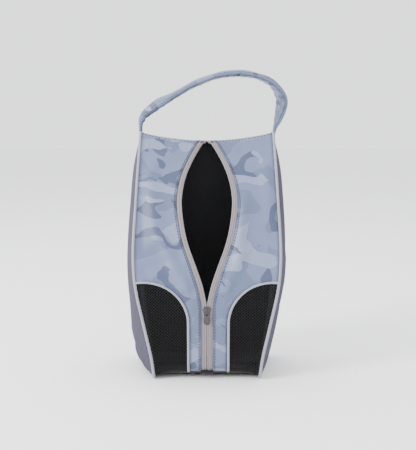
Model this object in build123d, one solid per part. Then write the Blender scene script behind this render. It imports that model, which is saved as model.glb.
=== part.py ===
"""Golf shoe bag: a soft, wedge-shaped carrier for one pair of shoes, standing on its base.

Two padded side panels are joined by a strip that runs up the front, over the top ridge and
down the back. The strip's front is cut in two by a zip, and has a mesh vent at each lower
corner. X is the bag's width, -Y its front, +Z up, in millimetres. The origin is on the floor
under the middle of the bounding box.
"""
import math
import os
from functools import cache

from build123d import *

# ---------------------------------------------------------------- driving dimensions (mm)
BASE_FRONT = -60.0          # where the front wall's line meets the floor
BASE_BACK = 70.0            # where the back wall's line meets the floor
BELLY_DEPTH = 14.5          # how much further forward the belly is than the front's foot
BELLY_HEIGHT = 156.0        # height of the belly, the front wall's bend
RIDGE_HEIGHT = 336.0        # height of the top ridge
RIDGE_FRONT = 22.0          # front edge of the ridge
RIDGE_DEPTH = 28.0          # front to back across the ridge
BASE_BREAK = -25.0          # the base is flat behind this line and rises in front of it

HALF_FOOT_FRONT = 76.0      # half the distance between side seams, at each corner
HALF_BELLY = 98.0
HALF_RIDGE = 97.0
HALF_FOOT_BACK = 92.0
HALF_BACK = 104.0           # at the height of the belly, on the back
SIDE_BULGE = 8.0            # how far a side panel swells past a flat sheet

FRONT_LIFT = 7.0            # rise of the base's front edge
FRONT_CROWN = 7.0           # swell of the upper front past a flat sheet

FOOT_RADIUS = 14.0          # rounding of the front foot
HEEL_RADIUS = 18.0
RIDGE_RADIUS = 10.0
BELLY_RUN = 22.0            # length of the bend on each side of the belly
CROWN_RUN = 60.0
BREAK_RUN = 15.0

FABRIC = 1.2                # outer cloth
PADDING = 2.0               # foam sheet behind it
LINING = 0.8
MESH = 1.2
PIPING = 4.2                # piping's thickness, at the side seams
PIPING_PROUD = 1.3          # how far it stands out of the cloth
SEWN_GAP = 0.2              # left between sewn pieces that lie side by side

VENT_STRIP = 28.0           # half the width of the cloth between the two mesh vents
VENT_TOP = 142.0            # height of the vents
VENT_RADIUS = 64.0          # of each vent's rounded inner corner
VENT_PIPING = 3.4
VENT_PIPING_PROUD = 1.1

TAPE = 0.9                  # zip tape
TAPE_SHOWN = 7.0            # from the tape's inner edge to the cloth's folded edge
TAPE_SEWN = 6.0             # the rest, behind the cloth
TAPE_DEPTH = 1.3            # from the bag's outer surface in to the tape
TAPE_SLIT = 0.8             # half the gap between the two tapes
COIL_WIDTH = 2.4
COIL_HEIGHT = 1.7
ZIP_BOTTOM = 27.0           # lowest height that the chain reaches
SLIDER_TOP = 108.0          # height of the slider's nose
MOUTH_END = 6.0             # from the back seam to where the open zip's lips meet again
MOUTH_LIPS = [              # share of the way up to there, and half the mouth's width
    (0.067, 6.0), (0.118, 11.0), (0.192, 18.0), (0.296, 27.0), (0.43, 34.0),
    (0.573, 36.0), (0.725, 30.0), (0.875, 16.0)]

SLIDER_LENGTH = 14.5
SLIDER_WIDTH = 11.5
SLIDER_PLATE = 1.4
SLIDER_CLEARANCE = 0.3
SLIDER_POST = 0.5           # half the width of the post between the plates
SLIDER_POST_LENGTH = 3.0
BAIL_WIRE = 1.3
BAIL_RISE = 3.4
BAIL_LENGTH = 8.6
PULL_LENGTH = 19.0
PULL_WIDTH = 10.0
PULL_NECK = 5.0
PULL_THICKNESS = 1.4
PULL_EYE = 1.25             # half the width of the pull's eye round the bail
PULL_BAR = 1.4              # the pull's bar, under the bail

HANDLE_WIDTH = 25.0
HANDLE_THICKNESS = 7.0
HANDLE_COVER = 1.2
HANDLE_ROOT_WIDTH = 10.0
HANDLE_TAPER = 40.0         # length over which the strap narrows to its root
HANDLE_HINGE = 11.0         # height above the ridge at which the sewn roots bend
HANDLE_GAP = 1.8            # between a root and its anchor tab
HANDLE_LINE = [             # the strap's middle line between its roots, across and above them
    (-97.0, 15.0), (-78.0, 34.0), (-48.0, 51.0), (-10.0, 71.0), (30.0, 82.0),
    (66.0, 80.5), (98.0, 68.0), (113.0, 46.0), (108.0, 20.0)]
ANCHOR_DEPTH = 14.0         # how far a tab reaches down beside the side panel
ANCHOR_THICKNESS = 3.0

BOARD = 2.0                 # stiffening board in the base
BOARD_MARGIN = 9.0
BINDING_WIDTH = 7.0
BINDING = 0.9
END_TAB = 1.0

# ---------------------------------------------------------------- derived places
RIDGE_BACK = RIDGE_FRONT + RIDGE_DEPTH
RIDGE_MIDDLE = RIDGE_FRONT + RIDGE_DEPTH / 2
BELLY = BASE_FRONT - BELLY_DEPTH
FOOT_SLOPE = BELLY_DEPTH / BELLY_HEIGHT
PAD_IN = FABRIC + PADDING
WALL = PAD_IN + LINING
SEAM_GAP = PIPING - PIPING_PROUD + SEWN_GAP     # from the seam's line to a panel's edge
INNER_GAP = WALL + 1.0                          # and to the edge of padding and lining
BACK_SEAM = RIDGE_BACK - RIDGE_RADIUS - 2.0     # on the ridge, where the back panel starts
HEEL_SEAM = BASE_BACK - HEEL_RADIUS - 2.0       # on the base, where it ends
TOE_SEAM = BASE_FRONT + FOOT_RADIUS      # on the base, where the front ends
COIL_IN = TAPE_DEPTH + TAPE + 0.05
REACH = HALF_BACK + SIDE_BULGE + 40.0           # past the bag on both sides
TALL = RIDGE_HEIGHT + 60.0                      # above it
OBLIQUE = Plane(origin=(0, 0, 0), x_dir=(1, 0, 0), z_dir=(0, -1, 1))


def front_line(z):
    """The front wall's Y at a height, with its bend left sharp."""
    if z < BELLY_HEIGHT:
        return BASE_FRONT - FOOT_SLOPE * z
    climb = (z - BELLY_HEIGHT) / (RIDGE_HEIGHT - BELLY_HEIGHT)
    return BELLY + (RIDGE_FRONT - BELLY) * climb


def back_line(z):
    """The back wall's Y at a height."""
    return BASE_BACK - (BASE_BACK - RIDGE_BACK) * z / RIDGE_HEIGHT


def along_seam(z, foot, belly, ridge):
    """A size that changes smoothly from the foot to the belly to the ridge."""
    low = (belly - foot) / BELLY_HEIGHT
    high = (ridge - belly) / (RIDGE_HEIGHT - BELLY_HEIGHT)
    return foot + low * z + (high - low) / RIDGE_HEIGHT * z * (z - BELLY_HEIGHT)


def side_x(y, z):
    """Half the bag's width at a point of the side panel."""
    share = (y - BELLY) / (BASE_BACK - BELLY)
    front = along_seam(z, HALF_FOOT_FRONT, HALF_BELLY, HALF_RIDGE)
    back = along_seam(z, HALF_FOOT_BACK, HALF_BACK, HALF_RIDGE)
    height = z / RIDGE_HEIGHT
    bulge = SIDE_BULGE * 4 * height * (1 - height)
    return front + (back - front) * share + bulge * 4 * share * (1 - share)


# ---------------------------------------------------------------- the bag's body, by layer
def turn_between(before, corner, after):
    """The angle, in radians, through which a polygon turns at a corner."""
    a = math.atan2(corner[1] - before[1], corner[0] - before[0])
    b = math.atan2(after[1] - corner[1], after[0] - corner[0])
    return abs((b - a + math.pi) % (2 * math.pi) - math.pi)


def profile(inset):
    """The closed outline of the front, ridge, back and base in the YZ plane, a depth
    inset inside the outer surface, with rounded corners."""
    climb = math.atan2(RIDGE_HEIGHT - BELLY_HEIGHT, RIDGE_FRONT - BELLY)
    crown = ((BELLY + RIDGE_FRONT) / 2 - FRONT_CROWN * math.sin(climb),
             (BELLY_HEIGHT + RIDGE_HEIGHT) / 2 + FRONT_CROWN * math.cos(climb))
    corners = [(BASE_BACK, 0.0), (BASE_BREAK, 0.0),
               (BASE_FRONT - FOOT_SLOPE * FRONT_LIFT, FRONT_LIFT), (BELLY, BELLY_HEIGHT),
               crown, (RIDGE_FRONT, RIDGE_HEIGHT), (RIDGE_BACK, RIDGE_HEIGHT)]
    runs = [None, BREAK_RUN, None, BELLY_RUN, CROWN_RUN, None, None]
    fixed = [HEEL_RADIUS, None, FOOT_RADIUS, None, None, RIDGE_RADIUS, RIDGE_RADIUS]
    count = len(corners)
    moved = []
    radii = []
    for i, corner in enumerate(corners):
        before, after = corners[i - 1], corners[(i + 1) % count]
        turn = turn_between(before, corner, after)
        radii.append((fixed[i] or runs[i] / math.tan(turn / 2)) - inset)
        moved.append(move_corner(before, corner, after, inset))
    return make_face(FilletPolyline(*[(0, y, z) for y, z in moved], radius=radii, close=True))


def move_corner(before, corner, after, inset):
    """A clockwise polygon's corner, with both its edges moved inwards by inset."""
    def edge(a, b):
        length = math.dist(a, b)
        along = ((b[0] - a[0]) / length, (b[1] - a[1]) / length)
        return along, (along[1], -along[0])
    (ay, az), (any_, anz) = edge(before, corner)
    (by, bz), (bny, bnz) = edge(corner, after)
    cross = ay * bz - az * by
    gap = (inset * (bny - any_), inset * (bnz - anz))
    step = (gap[0] * bz - gap[1] * by) / cross
    return (corner[0] + inset * any_ + step * ay, corner[1] + inset * anz + step * az)


def across(face):
    """A face in the YZ plane, drawn out to a solid across the whole bag."""
    return extrude(face, amount=REACH, dir=(1, 0, 0), both=True)


@cache
def body(inset):
    """The whole bag, side to side, as one solid a depth inset inside its outer surface."""
    return across(profile(inset))


@cache
def layer(outer, inner):
    """The cloth, foam or lining between two depths, all the way round."""
    return across(profile(outer) - profile(inner))


@cache
def side_surface(depth):
    """The right side panel's outer surface, moved in by depth."""
    heights = [(RIDGE_HEIGHT + 20.0) * i / 8 - 10.0 for i in range(9)]
    depths = [BELLY - 16.0 + (BASE_BACK - BELLY + 32.0) * i / 6 for i in range(7)]
    rows = [[Vector(side_x(y, z) - depth, y, z) for y in depths] for z in heights]
    return Face.make_surface_from_array_of_points(rows, tol=0.02, min_deg=3, max_deg=5)


def side_slab(outer, inner):
    """A sheet that follows the right side panel, between two depths."""
    return Solid.extrude(side_surface(outer), (outer - inner, 0, 0))


@cache
def span(depth):
    """All that lies between the two side panels' surfaces, each moved in by depth."""
    inward = Solid.extrude(side_surface(depth), (-2 * REACH, 0, 0))
    return inward & mirror(inward, about=Plane.YZ)


@cache
def region(name):
    """The stretch of the strip that one panel covers, as a block across the whole bag."""
    inside_top = (BACK_SEAM, RIDGE_HEIGHT - 26.0)
    inside_toe = (TOE_SEAM, 60.0)
    inside_heel = (HEEL_SEAM, 40.0)
    half = SEWN_GAP / 2
    if name == "front":
        points = [(TOE_SEAM - half, -20), (-REACH, -20), (-REACH, TALL),
                  (BACK_SEAM - half, TALL), inside_top, inside_toe]
    elif name == "back":
        points = [(HEEL_SEAM + half, -20), (REACH, -20), (REACH, TALL),
                  (BACK_SEAM + half, TALL), inside_top, inside_heel]
    else:
        points = [(TOE_SEAM + half, -20), (HEEL_SEAM - half, -20), inside_heel, inside_toe]
    return across(make_face(Polyline(*[(0, y, z) for y, z in points], close=True)))


def strip(outer, inner, gap, name):
    """One layer of one stretch of the strip, up to a gap from the side panels' surfaces."""
    return layer(outer, inner) & span(gap) & region(name)


def right_half(shape):
    """What lies to the right of the middle."""
    return shape & Pos(REACH, 0, TALL / 2) * Box(2 * REACH, 2 * REACH, 3 * TALL)


# ---------------------------------------------------------------- openings in the front
def oblique_height(y, z):
    """How far up the oblique plane a point of the front or the ridge comes."""
    return (y + z) / math.sqrt(2)


NOSE = oblique_height(front_line(SLIDER_TOP), SLIDER_TOP)
LIPS_MEET = oblique_height(BACK_SEAM - MOUTH_END, RIDGE_HEIGHT)


def lip(extra, bottom, top):
    """The right-hand edge of the zip's opening, moved sideways by extra, as a line from the
    bottom, up past the slider's nose and round the mouth, to the top."""
    meet = TAPE_SLIT + extra
    points = [(meet, NOSE)]
    points += [(half + extra, NOSE + share * (LIPS_MEET - NOSE)) for share, half in MOUTH_LIPS]
    points += [(meet, LIPS_MEET)]
    return [Line((meet, bottom), points[0]), Spline(*points), Line(points[-1], (meet, top))]


@cache
def slit(extra):
    """A cutter for the whole opening in the front, from the toe to the back seam."""
    right = lip(extra, -REACH, LIPS_MEET + REACH)
    left = [mirror(edge, about=Plane.YZ) for edge in right]
    ends = [Line(left[0] @ 0, right[0] @ 0), Line(left[-1] @ 1, right[-1] @ 1)]
    outline = make_face(Wire(edge.edge() for edge in right + left + ends))
    return extrude(OBLIQUE * outline, amount=2 * TALL, both=True)


def vent(grow):
    """A cutter for the right mesh vent, with its outline moved outwards by grow."""
    inner = VENT_STRIP - grow
    top = VENT_TOP + grow
    radius = VENT_RADIUS + grow
    outline = Plane.XZ * Pos((inner + REACH) / 2, (top - REACH) / 2) * Rectangle(
        REACH - inner, top + REACH)
    corner = outline.vertices().sort_by(lambda v: v.Z - v.X)[-1]
    return extrude(fillet(corner, radius), amount=REACH, both=True)


# ---------------------------------------------------------------- side panels
def make_sides():
    room = anchor(SEWN_GAP)
    both("side_panel", (side_slab(0, FABRIC) & body(SEAM_GAP)) - room)
    both("side_foam", (side_slab(FABRIC, PAD_IN) & body(INNER_GAP)) - room)
    both("side_lining", (side_slab(PAD_IN, WALL) & body(INNER_GAP)) - room)
    ring = side_slab(-PIPING_PROUD, PIPING - PIPING_PROUD) & layer(
        -PIPING_PROUD, PIPING - PIPING_PROUD)
    standing = Pos(0, 0, TALL / 2) * Box(2 * REACH, 2 * REACH, TALL)
    both("side_piping", (ring & standing) - room)
    edge = WALL + SEWN_GAP
    binding = layer(edge, edge + BINDING) & span(edge) - span(edge + BINDING_WIDTH)
    both("seam_binding", right_half(binding) - anchor(SEWN_GAP))


def anchor(grow):
    """The webbing tab that holds the right end of the handle, grown by a clearance."""
    top = RIDGE_HEIGHT + HANDLE_HINGE - HANDLE_ROOT_WIDTH / 2 - HANDLE_GAP
    bottom = RIDGE_HEIGHT - ANCHOR_DEPTH
    return Pos(HALF_RIDGE, RIDGE_MIDDLE, (top + bottom) / 2) * Box(
        ANCHOR_THICKNESS + 2 * grow, HANDLE_ROOT_WIDTH + 2 * grow, top - bottom + 2 * grow)


# ---------------------------------------------------------------- front, back and base
def make_front():
    room = anchor(SEWN_GAP)
    rim = VENT_PIPING / 2
    solid_edge = vent(rim + SEWN_GAP)
    sewn = TAPE_SHOWN + TAPE_SEWN + SEWN_GAP
    cloth = strip(0, FABRIC, SEAM_GAP, "front") - solid_edge - slit(TAPE_SHOWN) - room
    foam = strip(FABRIC, PAD_IN, INNER_GAP, "front") - solid_edge - slit(sewn) - room
    lining = strip(PAD_IN, WALL, INNER_GAP, "front") - solid_edge - slit(TAPE_SHOWN) - room
    both("front_panel", right_half(cloth))
    both("front_foam", right_half(foam))
    both("front_lining", right_half(lining))
    both("mesh_panel", strip(0, MESH, SEAM_GAP, "front") & vent(-rim - SEWN_GAP))
    cord = strip(-VENT_PIPING_PROUD, VENT_PIPING - VENT_PIPING_PROUD, SEAM_GAP, "front")
    both("mesh_piping", cord & (vent(rim) - vent(-rim)))


def make_back_and_base():
    room = anchor(SEWN_GAP)
    rooms = [room, mirror(room, about=Plane.YZ)]
    write("back_panel", strip(0, FABRIC, SEAM_GAP, "back") - rooms)
    write("back_foam", strip(FABRIC, PAD_IN, INNER_GAP, "back") - rooms)
    write("back_lining", strip(PAD_IN, WALL, INNER_GAP, "back") - rooms)
    write("base_panel", strip(0, FABRIC, SEAM_GAP, "base"))
    write("base_board", strip(FABRIC, FABRIC + BOARD, BOARD_MARGIN, "base"))
    write("base_lining", strip(FABRIC + BOARD, FABRIC + BOARD + LINING, INNER_GAP, "base"))


# ---------------------------------------------------------------- zip
def zip_plane(z):
    """A plane on the lower front's surface: Y up along the zip and Z out of the bag."""
    return Plane(origin=(0, front_line(z), z), x_dir=(1, 0, 0), z_dir=(0, -1, -FOOT_SLOPE))


def band(inner, outer, low, high, outside, inside):
    """A right-hand strip beside the zip's opening, between two heights on the oblique
    plane and between two depths."""
    near = lip(inner, NOSE - REACH, LIPS_MEET + REACH)
    far = lip(outer, NOSE - REACH, LIPS_MEET + REACH)
    ends = [Line(near[0] @ 0, far[0] @ 0), Line(near[-1] @ 1, far[-1] @ 1)]
    outline = make_face(Wire(edge.edge() for edge in near + far + ends))
    window = Pos(0, (low + high) / 2) * Rectangle(2 * REACH, high - low)
    cutter = extrude(OBLIQUE * (outline & window), amount=2 * TALL, both=True)
    return layer(outside, inside) & region("front") & cutter


def make_zip():
    low, high = NOSE - REACH, LIPS_MEET + REACH
    tape = band(0, TAPE_SHOWN + TAPE_SEWN, low, high, TAPE_DEPTH, TAPE_DEPTH + TAPE)
    both("zipper_tape", tape)
    start, end = NOSE + 2.5, LIPS_MEET - 12.0
    coil_in = COIL_IN + COIL_HEIGHT
    both("zipper_coil", band(-0.8, COIL_WIDTH - 0.8, start, end, COIL_IN, coil_in))
    both("zipper_top_stop", band(-0.6, COIL_WIDTH, end + 0.3, end + 4.3, COIL_IN, coil_in))
    post = SLIDER_TOP - SLIDER_POST_LENGTH - 2 * SLIDER_CLEARANCE
    length = post - ZIP_BOTTOM
    chain = Pos(0, 0, -COIL_IN - COIL_HEIGHT / 2) * Box(2 * COIL_WIDTH, length, COIL_HEIGHT)
    write("zipper_chain_closed", zip_plane((post + ZIP_BOTTOM) / 2) * chain)
    stop = Pos(0, 0, -COIL_IN - COIL_HEIGHT / 2) * Box(2 * COIL_WIDTH, 3.0, COIL_HEIGHT)
    write("zipper_bottom_stop", zip_plane(ZIP_BOTTOM - 2.0) * stop)
    tab = strip(TAPE_DEPTH - SEWN_GAP - END_TAB, TAPE_DEPTH - SEWN_GAP, SEAM_GAP, "front")
    wide = TAPE_SHOWN + TAPE_SLIT - SEWN_GAP
    write("zipper_end_tab", tab & Pos(0, TOE_SEAM - 9.0, 0) * Box(2 * wide, 8.0, 60.0))


def make_slider():
    """The slider's two plates, the post between them, the bail on top and the pull."""
    middle = SLIDER_TOP - SLIDER_LENGTH / 2
    place = zip_plane(middle)
    face = -TAPE_DEPTH + SLIDER_CLEARANCE
    inside = -COIL_IN - COIL_HEIGHT - SLIDER_CLEARANCE
    half = SLIDER_WIDTH / 2
    plan = fillet(Rectangle(SLIDER_WIDTH, SLIDER_LENGTH).vertices(), 2.6)
    front = Pos(0, 0, face) * extrude(plan, amount=SLIDER_PLATE)
    rear = Pos(0, 0, inside - SLIDER_PLATE) * extrude(plan, amount=SLIDER_PLATE)
    channel = COIL_WIDTH + SLIDER_CLEARANCE
    rail_top = -COIL_IN - SLIDER_CLEARANCE
    rail = Box(half - channel, SLIDER_LENGTH - 6.0, rail_top - inside + 0.4)
    rail_at = Pos((half + channel) / 2, -1.0, (rail_top + inside - 0.4) / 2)
    rails = [rail_at * rail, mirror(rail_at * rail, about=Plane.YZ)]
    post = Pos(0, SLIDER_LENGTH / 2 - SLIDER_POST_LENGTH / 2, (face + inside) / 2) * Box(
        2 * SLIDER_POST, SLIDER_POST_LENGTH, face - inside + 0.8)
    write("slider_body", place * (front + rear + rails + post))
    top = face + SLIDER_PLATE
    arch = Pos(0, 0, top + BAIL_RISE / 2) * Box(BAIL_WIRE, BAIL_LENGTH, BAIL_RISE)
    arch = fillet(arch.edges().filter_by(Axis.X).group_by(Axis.Z)[-1], 1.2)
    tunnel = Box(2 * BAIL_WIRE, BAIL_LENGTH - 2 * BAIL_WIRE, BAIL_RISE - BAIL_WIRE)
    arch -= Pos(0, 0, top + (BAIL_RISE - BAIL_WIRE) / 2) * tunnel
    write("slider_bail", place * arch)
    eye = top + (BAIL_RISE - BAIL_WIRE) / 2
    write("pull_tab", place * Pos(0, 0, eye) * make_pull())


def make_pull():
    """The pull, hanging from its eye's bar, which lies at the origin along X."""
    bar = PULL_BAR / 2
    end = PULL_LENGTH - PULL_WIDTH / 2
    neck = Pos(0, -PULL_NECK / 2) * Rectangle(PULL_NECK, PULL_NECK)
    drop = make_hull((neck + Pos(0, -end) * Circle(PULL_WIDTH / 2)).edges())
    reach = math.hypot(BAIL_LENGTH / 2, BAIL_RISE) + SLIDER_CLEARANCE
    eye = Pos(0, -(bar + reach) / 2) * Rectangle(2 * PULL_EYE, reach - bar)
    plate = extrude(drop - eye, amount=PULL_THICKNESS / 2, both=True)
    return plate + Rot(0, 90, 0) * Cylinder(bar, PULL_NECK)


# ---------------------------------------------------------------- handle
def strap_face(half):
    """The strap's side view in the XZ plane, with its middle line widened by half."""
    root = RIDGE_HEIGHT + HANDLE_HINGE
    line = [(x, RIDGE_HEIGHT + HANDLE_HINGE + z) for x, z in HANDLE_LINE]
    ends = [(-HALF_RIDGE, root), (HALF_RIDGE, root)]
    middle = Spline(ends[0], *line, ends[1])
    steps = 4 * (len(HANDLE_LINE) + 1)
    sides = []
    for way in (-half, half):
        points = []
        for i in range(steps + 1):
            along = middle % (i / steps)
            points.append(middle @ (i / steps) + Vector(-along.Y, along.X) * way)
        sides.append(Spline(*points))
    ends = [Line(sides[0] @ t, sides[1] @ t) for t in (0, 1)]
    face = make_face(Wire(edge.edge() for edge in sides + ends))
    foot = Rectangle(2 * half, HANDLE_ROOT_WIDTH + 8.0)
    feet = [Pos(x, root) * foot for x in (-HALF_RIDGE, HALF_RIDGE)]
    return Plane.XZ * (face + feet)


def strap(inset):
    """The whole strap, a depth inset inside its outer surface."""
    root = RIDGE_HEIGHT + HANDLE_HINGE
    solid = extrude(strap_face(HANDLE_THICKNESS / 2 - inset), amount=REACH, both=True)
    narrow = HANDLE_ROOT_WIDTH / 2 - inset
    wide = HANDLE_WIDTH / 2 - inset
    side = make_hull([*Circle(narrow).edges(),
                      Line((-wide, HANDLE_TAPER), (wide, HANDLE_TAPER)).edge()])
    side += Pos(0, HANDLE_TAPER + TALL / 2 - 1) * Rectangle(2 * wide, TALL)
    side_view = extrude(Plane.YZ * side, amount=REACH, both=True)
    return solid & Pos(0, RIDGE_MIDDLE, root) * side_view


def make_handle():
    core = strap(HANDLE_COVER)
    write("handle_cover", strap(0) - core)
    write("handle_core", core)
    both("handle_anchor", anchor(0))


# ---------------------------------------------------------------- files
def both(name, right):
    """Writes a right-hand piece and its mirror image on the left."""
    write(name + "_right", right)
    write(name + "_left", mirror(right, about=Plane.YZ))


def write(name, shape):
    """Writes one node's file, and refuses an empty one."""
    solids = ShapeList(shape).solids() if isinstance(shape, list) else shape.solids()
    if not solids:
        raise ValueError(name + " is empty")
    export_step(Compound(children=list(solids)), "parts/" + name + ".step")
    print(name, len(solids), round(sum(solid.volume for solid in solids)), flush=True)


os.makedirs("parts", exist_ok=True)
make_handle()
make_slider()
make_sides()
make_front()
make_back_and_base()
make_zip()
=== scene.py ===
"""Golf shoe bag: a soft, wedge-shaped carrier for one pair of shoes, standing half unzipped."""

import math

import bmesh
import bpy
import mathutils
import mathutils.kdtree
import numpy as np
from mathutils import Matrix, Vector, bvhtree


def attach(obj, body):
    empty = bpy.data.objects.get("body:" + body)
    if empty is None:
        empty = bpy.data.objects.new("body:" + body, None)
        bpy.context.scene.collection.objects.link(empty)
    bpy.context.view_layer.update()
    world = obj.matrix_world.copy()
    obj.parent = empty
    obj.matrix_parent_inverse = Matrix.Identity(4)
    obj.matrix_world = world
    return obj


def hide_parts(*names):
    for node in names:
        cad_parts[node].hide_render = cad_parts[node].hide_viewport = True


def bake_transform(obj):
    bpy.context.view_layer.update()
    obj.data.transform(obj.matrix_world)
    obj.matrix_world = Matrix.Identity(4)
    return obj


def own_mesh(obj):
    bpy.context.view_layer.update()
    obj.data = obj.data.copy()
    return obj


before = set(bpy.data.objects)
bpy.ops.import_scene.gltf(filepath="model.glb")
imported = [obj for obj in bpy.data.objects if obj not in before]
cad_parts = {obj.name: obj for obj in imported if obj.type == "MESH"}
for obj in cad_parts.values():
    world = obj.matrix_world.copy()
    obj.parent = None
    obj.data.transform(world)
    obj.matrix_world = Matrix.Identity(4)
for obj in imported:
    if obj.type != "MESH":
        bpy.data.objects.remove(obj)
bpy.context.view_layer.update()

# ------------------------------------------------------------------ the bag's shape
# Two side panels are joined by one long strip, which runs from under the toe up the front,
# over the ridge, down the back and under the base. Every cloth piece below is cut to this
# shape. Sizes are in metres: a place on the strip is a length along the side seam, from the
# middle of the base, and a distance across from the middle of the bag.
MM = 0.001
BELLY_Z = 156 * MM
RIDGE_Z = 345 * MM
RIDGE_Y = (22 * MM, 50 * MM)
RIDGE_DIP = 12 * MM
BELLY_Y = -74.5 * MM
TOE_Y = -60 * MM
HEEL_Y = 70 * MM
TOE_LIFT = 15 * MM
CROWN = 10 * MM
FRONT_SEAM_Z = np.array([0, 27, 72, 140, 170, 250, 345]) * MM
FRONT_SEAM_X = np.array([75, 78, 87, 100, 102.5, 101, 97]) * MM
BACK_SEAM_Z = np.array([0, 45, 120, 250, 345]) * MM
BACK_SEAM_X = np.array([91, 101, 106, 104, 97]) * MM
SWELL_Z = np.array([0, 6, 16, 45, 100, 176, 250, 300, 345]) * MM
SIDE_SWELL = {"left": np.array([0, 8, 14, 17, 14, 11, 9, 7, 0]) * MM,
              "right": np.array([0, 2, 3, 4, 6, 9, 9, 7, 0]) * MM}


def rounded(corners, radii, straight=14, curved=9):
    """A line through the corners, each rounded off, with the same count of points for any
    corners, so that two such lines pair up point by point."""
    corners = [np.array(c) for c in corners]
    starts, ends = [corners[0]], [corners[0]]
    for before, corner, after, radius in zip(corners, corners[1:], corners[2:], radii):
        back = (before - corner) / np.linalg.norm(before - corner)
        on = (after - corner) / np.linalg.norm(after - corner)
        turn = math.pi - math.acos(float(np.clip(back @ on, -1, 1)))
        cut = radius * math.tan(turn / 2)
        starts.append(corner + back * cut)
        ends.append(corner + on * cut)
    points = []
    for i in range(1, len(corners) - 1):
        for k in range(straight):
            points.append(ends[i - 1] + (starts[i] - ends[i - 1]) * k / straight)
        for k in range(curved):
            f = k / curved
            points.append(starts[i] * (1 - f) ** 2 + corners[i] * 2 * f * (1 - f)
                          + ends[i] * f ** 2)
    for k in range(straight + 1):
        points.append(ends[-1] + (corners[-1] - ends[-1]) * k / straight)
    return np.array(points)


def strip_line(toe, crown, ridge):
    """The strip's outline in the YZ plane, with the toe, the upper front and the ridge as
    high as they are at the seam or in the middle."""
    slope = math.atan2(ridge - BELLY_Z, RIDGE_Y[0] - BELLY_Y)
    swell = ((BELLY_Y + RIDGE_Y[0]) / 2 - crown * math.sin(slope),
             (BELLY_Z + ridge) / 2 + crown * math.cos(slope))
    corners = [(0, 0), (TOE_Y + 26 * MM, 0), (TOE_Y - toe * 0.09, toe), (BELLY_Y, BELLY_Z), swell,
               (RIDGE_Y[0], ridge), (RIDGE_Y[1], ridge), (HEEL_Y, 0), (0, 0)]
    radii = [40 * MM, 15 * MM, 80 * MM, 200 * MM, 9 * MM, 9 * MM, 18 * MM]
    return rounded(corners, radii)


def lengths(points):
    """How far along a line each of its points is."""
    return np.concatenate([[0], np.cumsum(np.linalg.norm(np.diff(points, axis=0), axis=1))])


SEAM = strip_line(0.5 * MM, 1.5 * MM, RIDGE_Z)
MIDDLE = strip_line(TOE_LIFT, CROWN, RIDGE_Z - RIDGE_DIP)
RUN = lengths(SEAM)
RIDGE_INDEX = int(np.argmax(SEAM[:, 1] > RIDGE_Z - 0.2 * MM))
BELLY_INDEX = int(np.argmin(SEAM[:, 0]))


def along_front(z):
    """The length along the side seam at which the front reaches a height."""
    low = int(np.argmin(np.abs(RUN - 50 * MM)))
    return np.interp(z, SEAM[low:RIDGE_INDEX, 1], RUN[low:RIDGE_INDEX])


def smooth(x, xs, ys):
    """A smooth curve through given places."""
    xs, ys = np.array(xs), np.array(ys)
    slope = np.gradient(ys, xs)
    x = np.clip(x, xs[0], xs[-1])
    i = np.clip(np.searchsorted(xs, x) - 1, 0, len(xs) - 2)
    h = xs[i + 1] - xs[i]
    f = (x - xs[i]) / h
    return ((2 * f ** 3 - 3 * f ** 2 + 1) * ys[i] + (f ** 3 - 2 * f ** 2 + f) * h * slope[i]
            + (3 * f ** 2 - 2 * f ** 3) * ys[i + 1] + (f ** 3 - f ** 2) * h * slope[i + 1])


def seam_depths(z):
    """Where the front and back seams are at a height on the side panel."""
    high = RIDGE_INDEX + 12
    front = np.interp(z, SEAM[10:high, 1], SEAM[10:high, 0])
    back_part = SEAM[high:-6][::-1]
    back = np.interp(z, back_part[:, 1], back_part[:, 0])
    return front, back


def half_width(y, z, side=None):
    """Half the bag's width at a point of a seam, or of a side panel with its swell."""
    front_y, back_y = seam_depths(z)
    share = np.clip((y - front_y) / np.maximum(back_y - front_y, 1 * MM), 0, 1)
    front = smooth(z, FRONT_SEAM_Z, FRONT_SEAM_X)
    back = smooth(z, BACK_SEAM_Z, BACK_SEAM_X)
    swell = smooth(z, SWELL_Z, SIDE_SWELL[side]) if side else 0.0
    return front + (back - front) * share + swell * 4 * share * (1 - share)


def seam_width(run):
    return half_width(np.interp(run, RUN, SEAM[:, 0]), np.interp(run, RUN, SEAM[:, 1]))


def skin(run, x, depth=0.0):
    """Points of the strip, a depth inside its outer surface."""
    run, x, depth = np.broadcast_arrays(np.asarray(run, float), x, depth)

    def place(r, a):
        share = np.clip(np.abs(a / seam_width(r)), 0, 1)
        toe = 1 - share ** 6
        crown = 1 - share ** 2
        part = np.where(r < RUN[BELLY_INDEX], toe, crown)
        edge = [np.interp(r, RUN, SEAM[:, k]) for k in (0, 1)]
        inner = [np.interp(r, RUN, MIDDLE[:, k]) for k in (0, 1)]
        return np.stack([a, *[e + (i - e) * part for e, i in zip(edge, inner)]], axis=-1)
    step = 1.5 * MM
    up = place(np.clip(run + step, 0, RUN[-1]), x) - place(np.clip(run - step, 0, RUN[-1]), x)
    side = place(run, x + step) - place(run, x - step)
    normal = np.cross(side, up)
    normal /= np.linalg.norm(normal, axis=-1, keepdims=True)
    return place(run, x) - normal * depth[..., None]


def add(name, data):
    """Puts a mesh, a lamp or a camera into the scene."""
    piece = bpy.data.objects.new(name, data)
    bpy.context.scene.collection.objects.link(piece)
    return piece


def surface(name, points, faces):
    """A smooth-shaded piece from its points and faces."""
    mesh = bpy.data.meshes.new(name)
    mesh.from_pydata(points.reshape(-1, 3).tolist(), [], faces)
    mesh.polygons.foreach_set("use_smooth", [True] * len(mesh.polygons))
    return add(name, mesh)


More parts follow.
